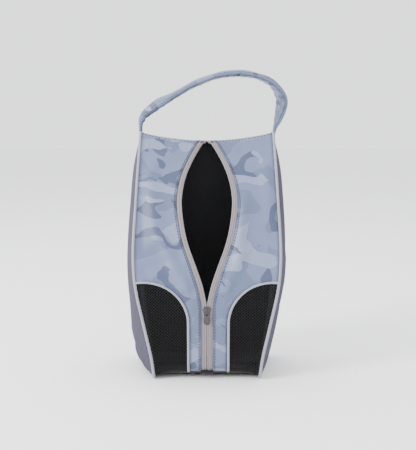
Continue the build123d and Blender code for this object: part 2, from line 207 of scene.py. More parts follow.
def grid(name, points):
    """A sheet through rows of points, each row running left to right as seen from outside."""
    rows, columns = points.shape[:2]
    faces = [(i * columns + j, i * columns + j + 1,
              (i + 1) * columns + j + 1, (i + 1) * columns + j)
             for i in range(rows - 1) for j in range(columns - 1)]
    return surface(name, points, faces)


def border(points, deep=1):
    """The numbers of the points along a sheet's four edges."""
    rows, columns = points.shape[:2]
    number = np.arange(rows * columns).reshape(rows, columns)
    inner = number[deep:rows - deep, deep:columns - deep]
    return sorted(set(number.ravel().tolist()) - set(inner.ravel().tolist()))


def settle(piece, pinned, pressure, growth, cap):
    """Lets a padded sheet, sewn down along its pinned points, fill out and crease as cloth
    does, and keeps it within a cap of where it was cut."""
    pins = piece.vertex_groups.new(name="pins")
    pins.add(pinned, 1.0, "REPLACE")
    cut = np.array([v.co for v in piece.data.vertices])
    piece.data.update()
    cloth = piece.modifiers.new("cloth", "CLOTH")
    cloth.settings.quality = 6
    cloth.settings.mass = 0.25
    cloth.settings.tension_stiffness = 25
    cloth.settings.compression_stiffness = 25
    cloth.settings.shear_stiffness = 8
    cloth.settings.bending_stiffness = 0.6
    cloth.settings.vertex_group_mass = "pins"
    cloth.settings.shrink_min = -growth
    cloth.settings.use_pressure = True
    cloth.settings.uniform_pressure_force = pressure
    cloth.settings.effector_weights.gravity = 0.3
    cloth.collision_settings.use_collision = False
    frames = 22
    cloth.point_cache.frame_end = frames
    for moment in range(1, frames + 1):
        bpy.context.scene.frame_set(moment)
    evaluated = piece.evaluated_get(bpy.context.evaluated_depsgraph_get())
    settled = np.array([v.co for v in evaluated.data.vertices])
    piece.modifiers.remove(cloth)
    bpy.context.scene.frame_set(1)
    shift = np.nan_to_num(settled - cut)
    size = np.linalg.norm(shift, axis=1, keepdims=True)
    shift *= cap / (cap + size)
    normal = np.array([v.normal for v in piece.data.vertices])
    inwards = np.minimum((shift * normal).sum(axis=1, keepdims=True) + 0.6 * MM, 0)
    shift -= normal * inwards
    piece.data.vertices.foreach_set("co", (cut + shift).ravel())
    piece.vertex_groups.remove(pins)


def thicken(piece, thickness, levels=1):
    """Gives a sheet its thickness, inwards, and a rounded edge."""
    solid = piece.modifiers.new("thickness", "SOLIDIFY")
    solid.thickness = thickness
    solid.offset = -1
    soft = piece.modifiers.new("soft", "SUBSURF")
    soft.levels = soft.render_levels = levels

# ------------------------------------------------------------------ cloth finishes
# The front, back and strap are satin polyester printed with a camouflage in four blue greys.
# A fine woven grain and a faint crumple, both shared by all the cloths, give it its surface.
def noise(tree, scale, detail=2.0, distortion=0.0, vector=None):
    node = tree.nodes.new("ShaderNodeTexNoise")
    node.inputs["Scale"].default_value = scale
    node.inputs["Detail"].default_value = detail
    node.inputs["Distortion"].default_value = distortion
    if vector:
        tree.links.new(vector, node.inputs["Vector"])
    return node


def arithmetic(tree, operation, a, b):
    node = tree.nodes.new("ShaderNodeMath")
    node.operation = operation
    for socket, value in zip(node.inputs, (a, b)):
        if isinstance(value, (int, float)):
            socket.default_value = value
        else:
            tree.links.new(value, socket)
    return node.outputs[0]


def build_weave():
    """A group that puts out the height of a plain weave with a soft crumple under it."""
    group = bpy.data.node_groups.new("woven_surface", "ShaderNodeTree")
    for name, value in (("Threads per metre", 900.0), ("Crumple size", 60.0), ("Crumple", 0.5)):
        socket = group.interface.new_socket(name, in_out="INPUT", socket_type="NodeSocketFloat")
        socket.default_value = value
    group.interface.new_socket("Height", in_out="OUTPUT", socket_type="NodeSocketFloat")
    start = group.nodes.new("NodeGroupInput")
    end = group.nodes.new("NodeGroupOutput")
    place = group.nodes.new("ShaderNodeTexCoord")
    threads = []
    for direction in ("X", "Z"):
        wave = group.nodes.new("ShaderNodeTexWave")
        wave.bands_direction = direction
        group.links.new(place.outputs["Object"], wave.inputs["Vector"])
        group.links.new(start.outputs["Threads per metre"], wave.inputs["Scale"])
        threads.append(wave.outputs["Fac"])
    weave = arithmetic(group, "MULTIPLY", threads[0], threads[1])
    crumple = noise(group, 60.0, 3.0, 0.4, place.outputs["Object"])
    group.links.new(start.outputs["Crumple size"], crumple.inputs["Scale"])
    soft = arithmetic(group, "MULTIPLY", crumple.outputs["Fac"], start.outputs["Crumple"])
    fine = arithmetic(group, "MULTIPLY", weave, 0.08)
    group.links.new(arithmetic(group, "ADD", soft, fine), end.inputs["Height"])
    return group


WEAVE = build_weave()


def linear(red, green, blue):
    """A colour named by its 0 to 255 screen values."""
    return [((c / 255 + 0.055) / 1.055) ** 2.4 if c > 10 else c / 3295
            for c in (red, green, blue)] + [1]


def cloth(name, colour, roughness=0.7, sheen=0.25, threads=900.0, crumple=0.5, bump=0.35, size=60.0,
          gloss=0.35):
    """A cloth finish in one colour, with its weave as bump. Returns the material, its shader
    and its tree."""
    material = bpy.data.materials.new(name)
    material.use_nodes = True
    tree = material.node_tree
    shader = tree.nodes["Principled BSDF"]
    shader.inputs["Base Color"].default_value = linear(*colour)
    shader.inputs["Roughness"].default_value = roughness
    shader.inputs["Sheen Weight"].default_value = sheen
    shader.inputs["Specular IOR Level"].default_value = gloss
    weave = tree.nodes.new("ShaderNodeGroup")
    weave.node_tree = WEAVE
    weave.inputs["Threads per metre"].default_value = threads
    weave.inputs["Crumple size"].default_value = size
    weave.inputs["Crumple"].default_value = crumple
    raised = tree.nodes.new("ShaderNodeBump")
    raised.inputs["Strength"].default_value = bump
    raised.inputs["Distance"].default_value = 1.2 * MM
    tree.links.new(weave.outputs["Height"], raised.inputs["Height"])
    tree.links.new(raised.outputs["Normal"], shader.inputs["Normal"])
    return material, shader, tree


def paint_seam_shade(material, shader, tree, shade_factor):
    """Paints shade into the cloth's colour where it turns down into a seam, multiplying it down by
    the seam attribute.
    """
    shade_mark = tree.nodes.new("ShaderNodeAttribute")
    shade_mark.attribute_name = "seam"
    mix = tree.nodes.new("ShaderNodeMix")
    mix.data_type = "RGBA"
    mix.blend_type = "MULTIPLY"
    mix.inputs["B"].default_value = (shade_factor, shade_factor, shade_factor * 1.06, 1)
    tree.links.new(shade_mark.outputs["Fac"], mix.inputs["Factor"])
    socket = shader.inputs["Base Color"]
    if socket.links:
        tree.links.new(socket.links[0].from_socket, mix.inputs["A"])
    else:
        tree.links.new(noise_tint(tree, socket.default_value), mix.inputs["A"])
    tree.links.new(mix.outputs["Result"], socket)
    return material


def noise_tint(tree, colour):
    """A colour with a slight uneven fade, as dyed nylon has."""
    place = tree.nodes.new("ShaderNodeTexCoord")
    fade = noise(tree, 14.0, 3.0, 0.2, place.outputs["Object"])
    mix = tree.nodes.new("ShaderNodeMix")
    mix.data_type = "RGBA"
    mix.inputs["A"].default_value = [c * 0.88 for c in colour[:3]] + [1]
    mix.inputs["B"].default_value = [min(1, c * 1.1) for c in colour[:3]] + [1]
    tree.links.new(fade.outputs["Fac"], mix.inputs["Factor"])
    return mix.outputs["Result"]


def camouflage(name):
    """The printed satin: three sizes of pointed patches over a blue-grey ground."""
    material, shader, tree = cloth(name, (165, 176, 200), roughness=0.42, sheen=0.12, bump=0.3)
    place = tree.nodes.new("ShaderNodeTexCoord")
    colour = None
    ground = linear(95, 105, 133)
    patches = [(14.5, 0.53, (84, 94, 121), (3.1, 0.4, 1.7), 1.0),
               (19.0, 0.57, (62, 71, 97), (7.7, 5.2, 0.9), 1.25),
               (16.5, 0.565, (114, 122, 147), (1.3, 9.1, 4.4), 1.15)]
    for scale, level, tone, shift, twist in patches:
        mapping = tree.nodes.new("ShaderNodeMapping")
        mapping.inputs["Location"].default_value = shift
        mapping.inputs["Rotation"].default_value = (0, 0.5, 0)
        mapping.inputs["Scale"].default_value = (0.8, 1.0, 1.15)
        tree.links.new(place.outputs["Object"], mapping.inputs["Vector"])
        patch = noise(tree, scale, 1.6, twist, mapping.outputs["Vector"])
        edge = tree.nodes.new("ShaderNodeMapRange")
        edge.inputs["From Min"].default_value = level - 0.003
        edge.inputs["From Max"].default_value = level + 0.003
        tree.links.new(patch.outputs["Fac"], edge.inputs["Value"])
        mix = tree.nodes.new("ShaderNodeMix")
        mix.data_type = "RGBA"
        tree.links.new(edge.outputs["Result"], mix.inputs["Factor"])
        if colour:
            tree.links.new(colour, mix.inputs["A"])
        else:
            mix.inputs["A"].default_value = ground
        mix.inputs["B"].default_value = linear(*tone)
        colour = mix.outputs["Result"]
    tree.links.new(colour, shader.inputs["Base Color"])
    # Painted shade: the satin is darker along its seams.
    return paint_seam_shade(material, shader, tree, 0.32)


CAMOUFLAGE = camouflage("camouflage satin")
# Painted shade: the side nylon is darker along its seams.
SIDE_CLOTH = paint_seam_shade(*cloth("lavender grey nylon", (72, 70, 83), roughness=1.0, sheen=0.0,
                                 gloss=0.08), 0.5)
LINING_CLOTH = cloth("black lining", (15, 15, 18), roughness=0.85, sheen=0.05)[0]
BASE_CLOTH = cloth("black coated nylon", (18, 18, 21), roughness=0.6, sheen=0.1)[0]
PIPING_CLOTH = cloth("piping cover", (136, 136, 148), roughness=0.6, crumple=0.1)[0]
TAPE_CLOTH = cloth("zip tape", (122, 115, 119), roughness=0.75, crumple=0.15)[0]


def dress(piece, material):
    """Gives a piece, or a CAD node, its one material."""
    piece.data.materials.clear()
    piece.data.materials.append(material)


def finish(piece, material, slot, body, *nodes):
    """Dresses a finished piece, ties it to its body, and hides the CAD nodes it stands for."""
    dress(piece, material)
    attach(piece, body)
    if nodes:
        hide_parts(*nodes)
    return piece

# ------------------------------------------------------------------ front panels
# Each half of the front is one padded satin panel, cut round the mesh vent below and folded
# back along the zip. It runs on over the ridge, to the seam with the back panel.
FRONT_START = float(np.interp(-TOE_Y - 14 * MM, -SEAM[:40, 0], RUN[:40]))
BACK_SEAM = float(RUN[RIDGE_INDEX] + 16 * MM)
SLIDER_TOP = 108 * MM
MOUTH_END = 6 * MM
MOUTH = [(0.0, 0.8), (0.067, 6.0), (0.118, 11.0), (0.192, 18.0), (0.296, 27.0), (0.43, 34.0),
         (0.573, 36.0), (0.725, 30.0), (0.875, 16.0), (1.0, 0.8)]
TAPE_SHOWN = 7 * MM
VENT_RADIUS = 64 * MM
VENT_TOP = 142 * MM
VENT_STRIP = {"left": 26 * MM, "right": 30 * MM}
VENT_RIM = 1.9 * MM
SIDES = {"left": -1, "right": 1}


def mouth(run):
    """Half the width of the zip's opening along the strip."""
    middle = skin(run, 0.0)
    height = (middle[..., 1] + middle[..., 2]) / math.sqrt(2)
    nose = skin(along_front(SLIDER_TOP), 0.0)
    low = (nose[1] + nose[2]) / math.sqrt(2)
    high = (RIDGE_Y[1] - 12 * MM - MOUTH_END + RIDGE_Z - RIDGE_DIP) / math.sqrt(2)
    share = (height - low) / (high - low)
    past = np.asarray(run) > RUN[RIDGE_INDEX] + 10 * MM
    width = smooth(share, [m[0] for m in MOUTH], [m[1] * MM for m in MOUTH])
    return np.where(past, 0.8 * MM, np.maximum(width, 0.8 * MM))


def vent_edge(run, side):
    """How far across the cloth beside the zip reaches, up to the mesh vent or the seam."""
    height = np.interp(run, RUN, SEAM[:, 1])
    inner = VENT_STRIP[side]
    rise = np.clip((height - (VENT_TOP - VENT_RADIUS)) / VENT_RADIUS, 0, 1)
    round_corner = inner + VENT_RADIUS * (1 - np.sqrt(1 - rise ** 2))
    return np.where(run < along_front(VENT_TOP), round_corner, 1.0)


def front_runs():
    """Lengths along the seam for the panels' rows, closer together round the vent's top."""
    low, start = FRONT_START, float(along_front(VENT_TOP - VENT_RADIUS))
    top = float(along_front(VENT_TOP))
    turns = [start + (top - start) * math.sin(math.pi / 2 * k / 22) for k in range(1, 22)]
    lower = np.linspace(low, start, 24)
    upper = np.linspace(top, BACK_SEAM, 76)
    return np.concatenate([lower, turns, [top - 0.05 * MM, top + 0.05 * MM], upper[1:]])


SEAM_GAP = 2.2 * MM
PADDED_CLOTH = 2.4 * MM
THIN_CLOTH = 0.6 * MM
FOLDS = {  # soft folds: where each starts and ends, its reach and its height, all in mm
    "left": [((-80, 286), (-70, 205), 11, 3.4), ((-62, 200), (-30, 136), 9, 3.2),
             ((-30, 150), (-20, 96), 6, 1.6), ((-95, 250), (-92, 190), 8, -1.6),
             ((-48, 322), (-78, 300), 10, 1.8), ((-40, 176), (-84, 162), 9, -1.8)],
    "right": [((52, 250), (44, 180), 10, 3.0), ((48, 178), (26, 132), 8, 2.8),
              ((84, 300), (90, 230), 9, 2.0), ((26, 140), (22, 90), 6, 1.6),
              ((60, 205), (92, 180), 9, -1.8), ((52, 316), (80, 306), 8, -1.4)]}


def fold_height(side, points):
    """How far the padding's soft folds lift the cloth at each point."""
    lift = np.zeros(points.shape[:-1])
    flat = points[..., [0, 2]] / MM
    for start, end, reach, height in FOLDS[side]:
        start, along = np.array(start, float), np.subtract(end, start).astype(float)
        share = np.clip(((flat - start) @ along) / (along @ along), 0, 1)
        away = np.linalg.norm(flat - start - share[..., None] * along, axis=-1)
        lift += height * MM * np.exp(-(away / reach) ** 2)
    return lift


def store_seam_shade(piece, points, reach=2.6 * MM):
    """Stores how near each point of a sheet is to its sewn edge, as the strength of the painted
    shade along the seam.
    """
    edge = np.concatenate([points[0], points[-1], points[:, 0], points[:, -1]])
    finder = mathutils.kdtree.KDTree(len(edge))
    for number, place in enumerate(edge):
        finder.insert(place, number)
    finder.balance()
    near = [math.exp(-(finder.find(place)[2] / reach) ** 2) for place in points.reshape(-1, 3)]
    shade_mark = piece.data.attributes.new("seam", "FLOAT", "POINT")
    shade_mark.data.foreach_set("value", near)


front_panels = {}
for side, way in SIDES.items():
    runs = front_runs()
    inner = mouth(runs) + TAPE_SHOWN
    outer = np.minimum(vent_edge(runs, side) - VENT_RIM, seam_width(runs) - SEAM_GAP)
    share = np.linspace(0, 1, 30)[None, :]
    across = inner[:, None] + (outer - inner)[:, None] * share
    if way < 0:
        across = -across[:, ::-1]
    points = skin(runs[:, None], across)
    calm = np.minimum(1, 8 * share * (1 - share))
    points = skin(runs[:, None], across, -fold_height(side, points) * calm)
    panel = grid("front_panel_cloth_" + side, points)
    # Painted shade along the panel's seams.
    store_seam_shade(panel, points)
    settle(panel, border(points), pressure=3.0, growth=0.01, cap=5 * MM)
    thicken(panel, PADDED_CLOTH)
    finish(panel, CAMOUFLAGE, "camouflage_cloth", "bag",
           "front_panel_" + side, "front_foam_" + side)
    front_panels[side] = panel

    outer = np.minimum(vent_edge(runs, side) - 4 * MM, seam_width(runs) - 6 * MM)
    across = inner[:, None] + (outer - inner)[:, None] * share[:, ::3]
    if way < 0:
        across = -across[:, ::-1]
    lining = grid("front_lining_cloth_" + side, skin(runs[:, None], across, 6.5 * MM))
    thicken(lining, THIN_CLOTH, levels=0)
    finish(lining, LINING_CLOTH, "lining", "bag", "front_lining_" + side)

# ------------------------------------------------------------------ back and base
# The back is one padded satin panel from the ridge to the base. The base is coated black
# nylon over a stiff board, with black lining inside.
HEEL_SEAM = float(RUN[-1] - 50 * MM)


def strip_panel(first, last, gap, depth, rows, columns):
    runs = np.linspace(first, last, rows)[:, None]
    across = (seam_width(runs) - gap) * np.linspace(-1, 1, columns)[None, :]
    return skin(runs, across, depth)


points = strip_panel(BACK_SEAM + 0.3 * MM, HEEL_SEAM, SEAM_GAP, 0.0, 90, 52)
panel = grid("back_panel_cloth", points)
# Painted shade along the panel's seams.
store_seam_shade(panel, points)
settle(panel, border(points), pressure=2.0, growth=0.01, cap=5 * MM)
thicken(panel, PADDED_CLOTH)
finish(panel, CAMOUFLAGE, "camouflage_cloth", "bag", "back_panel", "back_foam")

points = strip_panel(BACK_SEAM, RUN[-1], 6 * MM, 6 * MM, 60, 20)
lining = grid("back_lining_cloth", points)
thicken(lining, THIN_CLOTH, levels=0)
finish(lining, LINING_CLOTH, "lining", "bag", "back_lining")

wrapped = [("base_cloth", 0.0, 1.2, BASE_CLOTH, "base_cloth", "base_panel", SEAM_GAP),
           ("base_lining_cloth", 3.6 * MM, 0.6, LINING_CLOTH, "lining", "base_lining", 6 * MM)]
for name, depth, thickness, material, slot, node, gap in wrapped:
    runs = np.concatenate([np.linspace(HEEL_SEAM + 0.3 * MM - RUN[-1], -0.5 * MM, 12),
                           np.linspace(0.5 * MM, FRONT_START - 0.3 * MM, 12)])
    across = (seam_width(runs % RUN[-1]) - gap)[:, None] * np.linspace(-1, 1, 30)[None, :]
    points = skin((runs % RUN[-1])[:, None], across, depth)
    points[..., 2] = np.maximum(points[..., 2], depth)
    piece = grid(name, points)
    thicken(piece, thickness * MM, levels=0)
    finish(piece, material, slot, "bag", node)
dress(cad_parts["base_board"], LINING_CLOTH)

# ------------------------------------------------------------------ side panels
# Each side is one padded panel of plain nylon, piped all round. It is cut as rows from the
# front seam to the back seam, and has its own black lining.
def side_points(side, way, gap, depth, rows, columns):
    turn = (1 - np.cos(np.linspace(0, math.pi, rows))) / 2
    heights = gap + (RIDGE_Z - 2 * gap) * (0.5 * turn + 0.5 * np.linspace(0, 1, rows))
    heights = heights[:, None]
    front, back = seam_depths(heights)
    share = (1 - np.cos(np.linspace(0, math.pi, columns))) / 2
    share = (0.4 * share + 0.6 * np.linspace(0, 1, columns))[None, :]
    y = front + gap + (back - front - 2 * gap) * share
    z = np.broadcast_to(heights, y.shape)
    points = np.stack([way * (half_width(y, z, side) - depth), y, z], axis=-1)
    return points if way > 0 else points[:, ::-1]


for side, way in SIDES.items():
    points = side_points(side, way, SEAM_GAP, 0.0, 90, 44)
    panel = grid("side_panel_cloth_" + side, points)
    # Painted shade along the panel's seams.
    store_seam_shade(panel, points)
    settle(panel, border(points), pressure=3.0, growth=0.012, cap=5 * MM)
    thicken(panel, PADDED_CLOTH)
    finish(panel, SIDE_CLOTH, "side_cloth", "bag", "side_panel_" + side, "side_foam_" + side)
    lining = grid("side_lining_cloth_" + side, side_points(side, way, 5 * MM, 6 * MM, 40, 20))
    thicken(lining, THIN_CLOTH, levels=0)
    finish(lining, LINING_CLOTH, "lining", "bag", "side_lining_" + side)

# ------------------------------------------------------------------ piping
# The seams are piped with a cord in ribbed light grey tape: one ring round each side panel
# and one length round each vent. The ribs are laid along the seam by Geometry Nodes.
def path_object(name, points, closed=False, edges=None):
    """Bare points, joined in one line unless edges are given, for a tree to follow."""
    count = len(points)
    if edges is None:
        edges = [(i, i + 1) for i in range(count - 1)] + ([(count - 1, 0)] if closed else [])
    mesh = bpy.data.meshes.new(name)
    mesh.from_pydata(np.asarray(points).tolist(), edges, [])
    return add(name, mesh)


def new_tree(name, inputs):
    tree = bpy.data.node_groups.new(name, "GeometryNodeTree")
    tree.interface.new_socket("Geometry", in_out="INPUT", socket_type="NodeSocketGeometry")
    for label, value in inputs.items():
        socket = tree.interface.new_socket(label, in_out="INPUT", socket_type="NodeSocketFloat")
        socket.default_value = value
    tree.interface.new_socket("Material", in_out="INPUT", socket_type="NodeSocketMaterial")
    tree.interface.new_socket("Geometry", in_out="OUTPUT", socket_type="NodeSocketGeometry")
    return tree, tree.nodes.new("NodeGroupInput"), tree.nodes.new("NodeGroupOutput")


def close_tree(tree, start, end, geometry):
    """Ends a tree: real geometry, smooth, in the given material."""
    real = tree.nodes.new("GeometryNodeRealizeInstances")
    shade = tree.nodes.new("GeometryNodeSetShadeSmooth")
    coat = tree.nodes.new("GeometryNodeSetMaterial")
    tree.links.new(geometry, real.inputs["Geometry"])
    tree.links.new(real.outputs["Geometry"], shade.inputs["Geometry"])
    tree.links.new(shade.outputs["Geometry"], coat.inputs["Geometry"])
    tree.links.new(start.outputs["Material"], coat.inputs["Material"])
    tree.links.new(coat.outputs["Geometry"], end.inputs["Geometry"])


def bake(piece, modifier):
    """Makes what a modifier builds the piece's plain mesh, and removes the modifier."""
    evaluated = piece.evaluated_get(bpy.context.evaluated_depsgraph_get())
    mesh = bpy.data.meshes.new_from_object(evaluated)
    piece.modifiers.remove(modifier)
    piece.data = mesh
    return piece


def grow(path, tree, material, **sizes):
    """Runs a tree on a path and leaves the result as a plain mesh."""
    modifier = path.modifiers.new(tree.name, "NODES")
    modifier.node_group = tree
    values = {name.replace("_", " ").capitalize(): value for name, value in sizes.items()}
    values["Material"] = material
    for item in tree.interface.items_tree:
        if item.in_out == "INPUT" and item.name in values:
            modifier[item.identifier] = values[item.name]
    return bake(path, modifier)


def tube(tree, path, radius, sides, caps=False):
    """A round tube along a path, its radius a number or a tree's input."""
    circle = tree.nodes.new("GeometryNodeCurvePrimitiveCircle")
    circle.inputs["Resolution"].default_value = sides
    if isinstance(radius, float):
        circle.inputs["Radius"].default_value = radius
    else:
        tree.links.new(radius, circle.inputs["Radius"])
    sweep = tree.nodes.new("GeometryNodeCurveToMesh")
    sweep.inputs["Fill Caps"].default_value = caps
    tree.links.new(path, sweep.inputs["Curve"])
    tree.links.new(circle.outputs["Curve"], sweep.inputs["Profile Curve"])
    return sweep.outputs["Mesh"]


def repeated_along(name, inputs, item, core=False):
    """A tree that sets one small shape along a path, at a pitch, turned to follow it."""
    tree, start, end = new_tree(name, inputs)
    curve = tree.nodes.new("GeometryNodeMeshToCurve")
    tree.links.new(start.outputs["Geometry"], curve.inputs["Mesh"])
    spaced = tree.nodes.new("GeometryNodeResampleCurve")
    spaced.mode = "LENGTH"
    tree.links.new(curve.outputs["Curve"], spaced.inputs["Curve"])
    tree.links.new(start.outputs["Pitch"], spaced.inputs["Length"])
    tangent = tree.nodes.new("GeometryNodeInputTangent")
    turn = tree.nodes.new("FunctionNodeAlignEulerToVector")
    turn.axis = "Z"
    tree.links.new(tangent.outputs["Tangent"], turn.inputs["Vector"])
    shape = item(tree, start)
    place = tree.nodes.new("GeometryNodeInstanceOnPoints")
    tree.links.new(spaced.outputs["Curve"], place.inputs["Points"])
    tree.links.new(shape, place.inputs["Instance"])
    tree.links.new(turn.outputs["Rotation"], place.inputs["Rotation"])
    result = place.outputs["Instances"]
    if core:
        cord = tube(tree, curve.outputs["Curve"], start.outputs["Radius"], 10, caps=True)
        join = tree.nodes.new("GeometryNodeJoinGeometry")
        tree.links.new(result, join.inputs["Geometry"])
        tree.links.new(cord, join.inputs["Geometry"])
        result = join.outputs["Geometry"]
    close_tree(tree, start, end, result)
    return tree


def bead(tree, wide, tall, tilt=0.0, segments=8):
    """A rounded bead, stretched along the path, tilted by a fixed angle."""
    ball = tree.nodes.new("GeometryNodeMeshUVSphere")
    ball.inputs["Segments"].default_value = segments
    ball.inputs["Rings"].default_value = 4
    ball.inputs["Radius"].default_value = 1.0
    size = tree.nodes.new("ShaderNodeCombineXYZ")
    for axis, socket in zip("XYZ", (wide, wide, tall)):
        tree.links.new(socket, size.inputs[axis])
    move = tree.nodes.new("GeometryNodeTransform")
    tree.links.new(ball.outputs["Mesh"], move.inputs["Geometry"])
    tree.links.new(size.outputs["Vector"], move.inputs["Scale"])
    move.inputs["Rotation"].default_value = (tilt, 0, 0)
    return move.outputs["Geometry"]


RIB_PROUD = 1.12


def piping_rib(tree, start):
    return bead(tree, arithmetic(tree, "MULTIPLY", start.outputs["Radius"], RIB_PROUD),
                arithmetic(tree, "MULTIPLY", start.outputs["Pitch"], 0.42), 0.45, 12)


def stitch(tree, start):
    return bead(tree, arithmetic(tree, "MULTIPLY", start.outputs["Thread"], 0.5),
                arithmetic(tree, "MULTIPLY", start.outputs["Length"], 0.5))


PIPING_TREE = repeated_along(
    "ribbed_piping", {"Radius": 2 * MM, "Pitch": 1.5 * MM}, piping_rib, core=True)
STITCH_TREE = repeated_along(
    "stitches", {"Pitch": 4.5 * MM, "Length": 3.4 * MM, "Thread": 0.6 * MM}, stitch)
PIPING_R = 2.0 * MM
VENT_PIPING_R = 1.7 * MM


def resample(points, pitch, closed=False):
    """Points at even distances along a line of points."""
    points = np.asarray(points)
    if closed:
        points = np.vstack([points, points[:1]])
    length = lengths(points)
    count = max(2, int(round(length[-1] / pitch)))
    places = np.linspace(0, length[-1], count + 1)
    if closed:
        places = places[:-1]
    return np.stack([np.interp(places, length, points[:, k]) for k in range(3)], axis=-1)


for side, way in SIDES.items():
    ring = SEAM[:-1]
    normal = np.gradient(np.vstack([ring[-1:], ring, ring[:1]]), axis=0)[1:-1]
    normal = np.stack([normal[:, 1], -normal[:, 0]], axis=-1)
    normal /= np.linalg.norm(normal, axis=1, keepdims=True)
    ring = ring + normal * 0.8 * MM
    ring[:, 1] = np.maximum(ring[:, 1], PIPING_R * RIB_PROUD)
    x = way * (half_width(ring[:, 0], ring[:, 1]) - 0.8 * MM)
    line = resample(np.column_stack([x, ring]), 4 * MM, closed=True)
    piping = grow(path_object("side_piping_cord_" + side, line, closed=True), PIPING_TREE,
                  PIPING_CLOTH, radius=PIPING_R, pitch=1.5 * MM)
    finish(piping, PIPING_CLOTH, "piping", "bag", "side_piping_" + side)

    runs = front_runs()
    runs = runs[runs < along_front(VENT_TOP) - 0.1 * MM]
    edge = vent_edge(runs, side)
    keep = edge < seam_width(runs) - 4 * MM
    rim = skin(runs[keep], way * edge[keep], 0.5 * MM)
    top = float(along_front(VENT_TOP))
    last = float(edge[keep][-1])
    seam_end = float(seam_width(top)) - 1 * MM
    tail = skin(np.full(6, top), way * np.linspace(last + 4 * MM, seam_end, 6), 0.5 * MM)
    line = resample(np.vstack([rim, tail]), 3 * MM)
    piping = grow(path_object("vent_piping_cord_" + side, line), PIPING_TREE, PIPING_CLOTH,
                  radius=VENT_PIPING_R, pitch=1.4 * MM)
    finish(piping, PIPING_CLOTH, "piping", "bag", "mesh_piping_" + side)

# ------------------------------------------------------------------ mesh vents
# Each lower front corner is an open black warp-knit mesh, so the inside shows dimly through.
# Its threads are real tubes on a honeycomb of sewn-down rows.
def net_tree():
    tree, start, end = new_tree("knitted_net", {"Radius": 0.4 * MM})
    curve = tree.nodes.new("GeometryNodeMeshToCurve")
    tree.links.new(start.outputs["Geometry"], curve.inputs["Mesh"])
    close_tree(tree, start, end, tube(tree, curve.outputs["Curve"], start.outputs["Radius"], 4))
    return tree


NET_TREE = net_tree()
NET_PITCH = 2.2 * MM
MESH_YARN = cloth("black mesh yarn", (21, 21, 23), roughness=0.35, sheen=0.0, crumple=0.05)[0]


def vent_net(side, way):
    """The vent's honeycomb of threads, cut off at its rim and at the seams."""
    low, high = FRONT_START, float(along_front(VENT_TOP)) - 0.5 * MM
    rows = int((high - low) / (NET_PITCH * 0.5))
    columns = int(90 * MM / NET_PITCH)
    place, numbers = [], {}
    for i in range(rows + 1):
        run = low + (high - low) * i / rows
        inner = float(vent_edge(run, side)) + 1.2 * MM
        outer = float(seam_width(run)) - 1.6 * MM
        for j in range(columns + 1):
            zigzag = 0.25 if i % 4 in (1, 2) else -0.25
            x = VENT_STRIP[side] + (j + (zigzag if (j % 2 == 0) else -zigzag)) * NET_PITCH
            if inner <= x <= outer:
                numbers[i, j] = len(place)
                place.append((run, way * x))
    edges = [(n, numbers[i + 1, j]) for (i, j), n in numbers.items() if (i + 1, j) in numbers]
    edges += [(n, numbers[i, j + 1]) for (i, j), n in numbers.items()
              if (i, j + 1) in numbers and (i % 4 == (1 if j % 2 == 0 else 3))]
    place = np.array(place)
    points = skin(place[:, 0], place[:, 1], 0.5 * MM)
    net = path_object("mesh_net_" + side, points, edges=edges)
    return grow(net, NET_TREE, MESH_YARN, radius=0.33 * MM)


for side, way in SIDES.items():
    finish(vent_net(side, way), MESH_YARN, "mesh", "bag", "mesh_panel_" + side)

# ------------------------------------------------------------------ zip tapes and coils
# A reverse-coil zip: woven tapes whose nylon coils are on the inside, so only four ribs show.
# Below the slider the tapes meet, and above it they follow the lips of the open mouth.
COIL_PLASTIC = cloth("coil nylon", (120, 118, 124), roughness=0.35, sheen=0.0, crumple=0.0)[0]
COIL_RADIUS = 1.15 * MM
COIL_WIRE = 0.32 * MM
COIL_PITCH = 1.3 * MM
COIL_DEPTH = 3.1 * MM


def coil_link(tree, start):
    """One turn of a coil: a thin ring of wire."""
    circle = tree.nodes.new("GeometryNodeCurvePrimitiveCircle")
    circle.inputs["Resolution"].default_value = 8
    circle.inputs["Radius"].default_value = COIL_RADIUS
    return tube(tree, circle.outputs["Curve"], COIL_WIRE, 4)


COIL_TREE = repeated_along("coil", {"Pitch": COIL_PITCH}, coil_link)
TAPE_WIDE = 13 * MM
TAPE_DEPTH = 1.5 * MM
for side, way in SIDES.items():
    runs = np.linspace(FRONT_START, BACK_SEAM, 150)
    share = np.linspace(0, 1, 53)
    reach = share * TAPE_WIDE / MM
    ribs = 1.05 * MM * (np.exp(-((reach - 1.3) / 0.5) ** 2) + np.exp(-((reach - 4.2) / 0.6) ** 2))
    across = mouth(runs)[:, None] - 0.45 * MM + TAPE_WIDE * share[None, :]
    depth = np.broadcast_to(TAPE_DEPTH - ribs, across.shape)
    if way < 0:
        across, depth = -across[:, ::-1], depth[:, ::-1]
    tape = grid("zip_tape_" + side, skin(runs[:, None], across, depth))
    thicken(tape, THIN_CLOTH, levels=0)
    finish(tape, TAPE_CLOTH, "zip_tape", "bag", "zipper_tape_" + side)
    runs = np.linspace(float(along_front(SLIDER_TOP)) + 3 * MM, BACK_SEAM - 14 * MM, 160)
    line = skin(runs, way * (mouth(runs) + 0.7 * MM), COIL_DEPTH)
    coil = grow(path_object("coil_" + side, line), COIL_TREE, COIL_PLASTIC, pitch=COIL_PITCH)
    finish(coil, COIL_PLASTIC, "coil", "bag", "zipper_coil_" + side)

CLOSED_TOP = 101 * MM
CLOSED_BOTTOM = 27 * MM
runs = np.linspace(float(along_front(CLOSED_BOTTOM)), float(along_front(CLOSED_TOP)), 60)
chain = grow(path_object("closed_chain", skin(runs, 0.0, COIL_DEPTH)), COIL_TREE, COIL_PLASTIC,
             pitch=1.0 * MM)
chain.data.transform(mathutils.Matrix.Diagonal((1.6, 1, 1, 1)))
finish(chain, COIL_PLASTIC, "coil", "bag", "zipper_chain_closed")
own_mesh(chain)

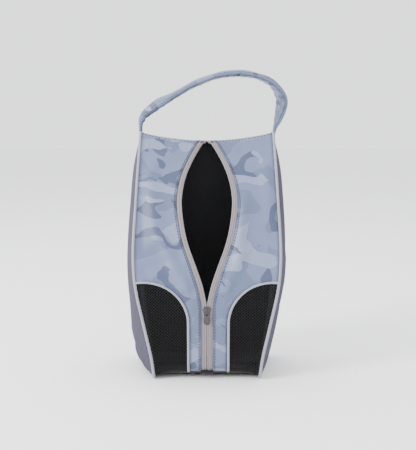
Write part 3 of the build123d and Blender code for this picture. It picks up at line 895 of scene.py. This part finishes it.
# ------------------------------------------------------------------ stitching
# Dark blue-grey thread holds the zip's tapes, in a row beside each folded edge, and a second
# row of topstitching runs along the ridge. Each row is laid on the cloth as it has settled.
THREAD = cloth("sewing thread", (24, 28, 56), roughness=0.6, crumple=0.0)[0]
def lay_on(piece, line, lift):
    """Moves a line of points onto a piece's outer surface, lifted a little off it."""
    shape = bvhtree.BVHTree.FromObject(piece, bpy.context.evaluated_depsgraph_get())
    laid = []
    for point in line:
        place, normal, _, _ = shape.find_nearest(Vector(point))
        outer = normal.y < 0 or normal.z > 0.3
        laid.append(place + normal * (lift if outer else -lift))
    return np.array(laid)


for side, way in SIDES.items():
    low = float(FRONT_START) + 2 * MM
    rows = {}
    runs = np.linspace(low, BACK_SEAM - 2 * MM, 240)
    rows["zip"] = skin(runs, way * (mouth(runs) + TAPE_SHOWN + 3.2 * MM), -2 * MM)
    ridge_edge = float(RUN[RIDGE_INDEX]) - 3 * MM
    start = float(mouth(ridge_edge)) + TAPE_SHOWN + 3 * MM
    rows["ridge"] = skin(ridge_edge, way * np.linspace(start, 92 * MM, 60), -2 * MM)
    for label, line in rows.items():
        name = "stitches_" + label + "_" + side
        line = lay_on(front_panels[side], resample(line, 1.5 * MM), 0.15 * MM)
        thread = grow(path_object(name, line), STITCH_TREE, THREAD,
                      pitch=4.4 * MM, length=3.3 * MM, thread=1.3 * MM)
        finish(thread, THREAD, "camouflage_cloth", "bag")

# ------------------------------------------------------------------ slider and pull
# The slider is plated zinc: two plates with the tapes between them, a post at the nose and a
# bail on top. The teardrop pull hangs from the bail by its eye.
def metal(name, colour, roughness):
    material = bpy.data.materials.new(name)
    material.use_nodes = True
    shader = material.node_tree.nodes["Principled BSDF"]
    shader.inputs["Base Color"].default_value = linear(*colour)
    shader.inputs["Metallic"].default_value = 1.0
    shader.inputs["Roughness"].default_value = roughness
    return material


GUNMETAL = metal("dark plated zinc", (72, 70, 74), 0.11)
WALL_TILT = math.atan2(14.5, 156)
SLIDER_HALF = (5.75 * MM, 7.25 * MM)
SLIDER_MIDDLE = SLIDER_TOP - SLIDER_HALF[1]
WALL_UP = np.array([0, -math.sin(WALL_TILT), math.cos(WALL_TILT)])
WALL_OUT = np.array([0, -math.cos(WALL_TILT), -math.sin(WALL_TILT)])
SLIDER_PLACE = np.array([0, TOE_Y - 0.093 * SLIDER_MIDDLE, SLIDER_MIDDLE])


def on_wall(points):
    """Moves points from the slider's own frame, across, up and out, to the lower front."""
    points = np.asarray(points, float)
    return (SLIDER_PLACE + points[..., :1] * np.array([1, 0, 0]) + points[..., 1:2] * WALL_UP
            + points[..., 2:] * WALL_OUT)


def plate(name, outline, low, high, hole=None, edge=0.35 * MM, segments=3):
    """A flat metal plate with rounded edges, cut to an outline, with an optional hole."""
    build = bmesh.new()
    loops = []
    for line in [outline] + ([hole] if hole is not None else []):
        corners = [build.verts.new((p[0], p[1], low)) for p in line]
        loops += [build.edges.new((a, b)) for a, b in zip(corners, corners[1:] + corners[:1])]
    filled = bmesh.ops.triangle_fill(build, use_beauty=True, use_dissolve=True, edges=loops)
    faces = [f for f in filled["geom"] if isinstance(f, bmesh.types.BMFace)]
    grown = bmesh.ops.extrude_face_region(build, geom=faces)
    lifted = [v for v in grown["geom"] if isinstance(v, bmesh.types.BMVert)]
    bmesh.ops.translate(build, vec=(0, 0, high - low), verts=lifted)
    bmesh.ops.recalc_face_normals(build, faces=build.faces)
    mesh = bpy.data.meshes.new(name)
    build.to_mesh(mesh)
    build.free()
    piece = add(name, mesh)
    bevel = piece.modifiers.new("edge", "BEVEL")
    bevel.width = edge
    bevel.segments = segments
    bevel.limit_method = "ANGLE"
    bevel.angle_limit = math.radians(50)
    mesh = bake(piece, bevel).data
    co = np.array([v.co for v in mesh.vertices])
    mesh.vertices.foreach_set("co", on_wall(co).ravel())
    mesh.update()
    return piece


def ellipse(wide, tall, count=28, x=0.0, y=0.0, power=1.0):
    """An oval, or with a power under one a rounded rectangle, as a line of points."""
    turns = np.linspace(0, 2 * math.pi, count, endpoint=False)
    c, s = np.cos(turns), np.sin(turns)
    return np.column_stack([x + wide * np.sign(c) * np.abs(c) ** power,
                            y + tall * np.sign(s) * np.abs(s) ** power])


def join(name, pieces):
    """Makes several plain meshes one piece."""
    build = bmesh.new()
    for piece in pieces:
        build.from_mesh(piece.data)
        bpy.data.objects.remove(piece)
    mesh = bpy.data.meshes.new(name)
    build.to_mesh(mesh)
    build.free()
    mesh.polygons.foreach_set("use_smooth", [True] * len(mesh.polygons))
    mesh.set_sharp_from_angle(angle=math.radians(40))
    return add(name, mesh)


plan = ellipse(*SLIDER_HALF, 40, power=0.62)
up = plan[:, 1] / SLIDER_HALF[1]
waist = 1 - np.clip((up + 0.25) ** 2 * 2.2, 0, 1)
plan[:, 0] *= 1 - 0.16 * waist - 0.1 * np.clip(-up, 0, 1)
front_plate = plate("front_plate", plan, -1.0 * MM, 0.5 * MM, edge=0.5 * MM)
rear_plate = plate("rear_plate", plan, -5.7 * MM, -4.3 * MM, edge=0.5 * MM)
post = ellipse(0.5 * MM, 1.4 * MM, 12, y=5.6 * MM)
post = plate("post", post, -4.5 * MM, -0.8 * MM, edge=0.1 * MM)
hump = ellipse(3.6 * MM, 5.4 * MM, 28, power=0.9)
hump = plate("hump", hump, 0.3 * MM, 1.1 * MM, edge=0.6 * MM)
slider = join("slider_plates", [front_plate, rear_plate, post, hump])
finish(slider, GUNMETAL, "metal", "slider", "slider_body")


def face_out(piece):
    """Turns a closed piece's faces outwards."""
    build = bmesh.new()
    build.from_mesh(piece.data)
    bmesh.ops.recalc_face_normals(build, faces=build.faces)
    build.to_mesh(piece.data)
    build.free()
    return piece


def bent_wire(name, line, radius, sides=10):
    """A round wire along a line of points, with closed ends."""
    line = resample(line, radius * 0.6)
    along = np.gradient(line, axis=0)
    along /= np.linalg.norm(along, axis=1, keepdims=True)
    side = np.cross(along, [1.0, 0.0, 0.0])
    side /= np.linalg.norm(side, axis=1, keepdims=True)
    other = np.cross(along, side)
    turns = np.linspace(0, 2 * math.pi, sides, endpoint=False)
    rings = [line + radius * (side * math.cos(t) + other * math.sin(t)) for t in turns]
    points = np.stack(rings, axis=1)
    count = len(line)
    faces = [(i * sides + j, (i + 1) * sides + j, (i + 1) * sides + (j + 1) % sides,
              i * sides + (j + 1) % sides) for i in range(count - 1) for j in range(sides)]
    faces += [tuple(range(sides)), tuple(range(count * sides - 1, (count - 1) * sides - 1, -1))]
    return face_out(surface(name, points, faces))


arch = [(0, -4.0 * MM * math.cos(t), (0.3 + 3.2 * math.sin(t) ** 0.6) * MM)
        for t in np.linspace(0.02, math.pi - 0.02, 30)]
bail = bent_wire("bail", on_wall(arch), 0.6 * MM)
finish(bail, GUNMETAL, "metal", "slider", "slider_bail")

PULL_OUT = 1.65 * MM
turns = np.linspace(0, 2 * math.pi, 44, endpoint=False)
drop = np.column_stack([6.3 * MM * np.sin(turns) * (0.72 - 0.28 * np.cos(turns)),
                        -8.9 * MM + 9.7 * MM * np.cos(turns)])
eye = ellipse(1.25 * MM, 2.35 * MM, 20, y=-3.2 * MM)
tear = plate("pull_plate", drop, PULL_OUT - 0.7 * MM, PULL_OUT + 0.7 * MM, hole=eye[::-1],
             edge=0.45 * MM)
inner = ellipse(3.7 * MM, 4.4 * MM, 28, y=-12.4 * MM)
rim = plate("pull_rim", inner, PULL_OUT + 0.5 * MM, PULL_OUT + 1.0 * MM, edge=0.3 * MM)
pull = join("pull_teardrop", [tear, rim])
finish(pull, GUNMETAL, "metal", "pull", "pull_tab")
for name in ("zipper_top_stop_left", "zipper_top_stop_right", "zipper_bottom_stop"):
    dress(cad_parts[name], GUNMETAL)
for name in ("seam_binding_left", "seam_binding_right", "zipper_end_tab"):
    dress(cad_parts[name], LINING_CLOTH)

# ------------------------------------------------------------------ handle
# The handle is a flat padded strap in the same satin, folded over foam and closed by a
# stitched seam along its front edge. It narrows to two roots sewn into the side seams.
HANDLE_Y = 36 * MM
HANDLE_LINE = [(-97.0, 336.0), (-97.0, 349.0), (-96.0, 362.0), (-78.0, 381.0), (-48.0, 398.0),
               (-10.0, 418.0), (30.0, 429.0), (66.0, 427.5), (95.0, 415.0), (108.5, 393.0),
               (105.0, 367.0), (99.0, 349.0), (97.0, 336.0)]


def through(points, count):
    """A smooth line of evenly spaced places through a few given ones."""
    points = np.array(points, float)
    chord = lengths(points)
    fine = np.linspace(0, chord[-1], 600)
    line = np.column_stack([smooth(fine, chord, points[:, k]) for k in range(points.shape[1])])
    length = lengths(line)
    even = np.linspace(0, length[-1], count)
    return np.column_stack([np.interp(even, length, line[:, k]) for k in range(line.shape[1])])


STRAP_STEPS = 260
AROUND = 40
line = through(HANDLE_LINE, STRAP_STEPS) * MM
along = np.gradient(line, axis=0)
along /= np.linalg.norm(along, axis=1, keepdims=True)
outward = np.column_stack([-along[:, 1], along[:, 0]])
bend = np.gradient(np.unwrap(np.arctan2(along[:, 1], along[:, 0]))) / np.linalg.norm(
    np.gradient(line, axis=0), axis=1)
run = lengths(line)
from_end = np.minimum(run, run[-1] - run)
half_wide = (4.6 + 7.6 * np.clip((from_end - 14 * MM) / (38 * MM), 0, 1) ** 0.8) * MM
half_thick = (2.1 + 2.9 * np.clip((from_end - 8 * MM) / (30 * MM), 0, 1)) * MM
twist = 0.55 * np.exp(-((run[-1] - run - 48 * MM) / (30 * MM)) ** 2) - 0.45 * np.exp(
    -((run - 52 * MM) / (30 * MM)) ** 2)
turns = np.linspace(0, 2 * math.pi, AROUND, endpoint=False)
thick = np.sign(np.cos(turns)) * np.abs(np.cos(turns)) ** 0.75
wide = np.sign(np.sin(turns)) * np.abs(np.sin(turns)) ** 0.6
crease = np.clip(-bend * 20 * MM, 0, 1.2)[:, None]
inner = np.clip(-thick, 0, 1)[None, :]
ripple = (np.sin(run[:, None] / (2.1 * MM) + 2.2 * wide[None, :])
          + 0.6 * np.sin(run[:, None] / (3.7 * MM) - 3.1 * wide[None, :] + 1.0))
pillow = 1 + 0.05 * np.sin(run / (9 * MM)) + 0.04 * np.sin(run / (5.3 * MM) + 2)
out = (thick[None, :] * (half_thick * pillow)[:, None]
       + ripple * (0.16 + 0.9 * crease) * inner * MM * 0.8)
groove = np.exp(-((wide[None, :] + 0.93) / 0.07) ** 2) * (thick[None, :] < 0.2)
out = out + groove * 0.6 * MM
side = wide[None, :] * half_wide[:, None]
out, side = (out * np.cos(twist)[:, None] - side * np.sin(twist)[:, None],
             out * np.sin(twist)[:, None] + side * np.cos(twist)[:, None])
points = np.stack([line[:, None, 0] + outward[:, None, 0] * out, HANDLE_Y + side,
                   line[:, None, 1] + outward[:, None, 1] * out], axis=-1)
faces = [(i * AROUND + j, i * AROUND + (j + 1) % AROUND, (i + 1) * AROUND + (j + 1) % AROUND,
          (i + 1) * AROUND + j) for i in range(STRAP_STEPS - 1) for j in range(AROUND)]
faces += [tuple(range(AROUND - 1, -1, -1)),
          tuple(range((STRAP_STEPS - 1) * AROUND, STRAP_STEPS * AROUND))]
strap = face_out(surface("handle_strap", points, faces))
dress(strap, CAMOUFLAGE)
# Painted shade, stored in the seam attribute: the strap is darker on its inner face, in its creases
# and along the groove of its stitched seam.
shade = (0.45 * inner + 0.5 * np.clip(-ripple, 0, 1) * inner * np.clip(0.3 + crease, 0, 1)
         + 0.6 * groove)
shade_mark = strap.data.attributes.new("seam", "FLOAT", "POINT")
shade_mark.data.foreach_set("value", np.clip(shade, 0, 1).ravel())
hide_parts("handle_cover", "handle_core", "handle_anchor_left", "handle_anchor_right")
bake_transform(strap)
column = int(np.argmin(np.abs(turns - math.radians(285))))
seam = points[10:-10, column] + np.array([0, -0.25 * MM, 0])
thread = grow(path_object("stitches_handle", resample(seam, 2 * MM)), STITCH_TREE, THREAD,
              pitch=4.2 * MM, length=2.6 * MM, thread=0.5 * MM)
dress(thread, THREAD)
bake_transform(thread)

# ------------------------------------------------------------------ camera, floor and light
# The stage: a pale floor that runs out of view, soft light from above and in front, and a
# camera a little above the bag's middle, looking slightly down.
CAMERA_FAR = 1.3
CAMERA_DOWN = math.radians(8)
TARGET = Vector((1.5 * MM, 0, 212.6 * MM))
sight = Vector((0, math.cos(CAMERA_DOWN), -math.sin(CAMERA_DOWN)))
camera_data = bpy.data.cameras.new("camera")
camera_data.sensor_fit = "VERTICAL"
camera_data.sensor_height = 24
camera_data.lens = 48
camera = add("camera", camera_data)
camera.location = TARGET - sight * CAMERA_FAR
camera.rotation_euler = sight.to_track_quat("-Z", "Y").to_euler()
bpy.context.scene.camera = camera

pale = bpy.data.materials.new("pale floor")
pale.use_nodes = True
pale.node_tree.nodes["Principled BSDF"].inputs["Base Color"].default_value = (0.93, 0.93, 0.94, 1)
pale.node_tree.nodes["Principled BSDF"].inputs["Roughness"].default_value = 0.9
bpy.ops.mesh.primitive_plane_add(size=12)
floor = bpy.context.object
floor.name = "floor"
floor.data.materials.append(pale)
lamps = [("key", (-1.9, -1.2, 1.2), 0.8, 90), ("fill", (1.0, -1.9, 0.7), 1.4, 4),
         ("top", (0.0, 0.4, 2.0), 1.6, 26)]
LIT_PLACE = Vector((0, 0, 0.18))
for name, place, size, power in lamps:
    data = bpy.data.lights.new(name, "AREA")
    data.size = size
    data.energy = power
    lamp = add(name, data)
    lamp.location = place
    beam = LIT_PLACE - Vector(place)
    lamp.rotation_euler = beam.to_track_quat("-Z", "Y").to_euler()
world = bpy.data.worlds.new("studio")
world.use_nodes = True
world.node_tree.nodes["Background"].inputs["Color"].default_value = (0.97, 0.98, 1.0, 1)
world.node_tree.nodes["Background"].inputs["Strength"].default_value = 2.0
bpy.context.scene.world = world
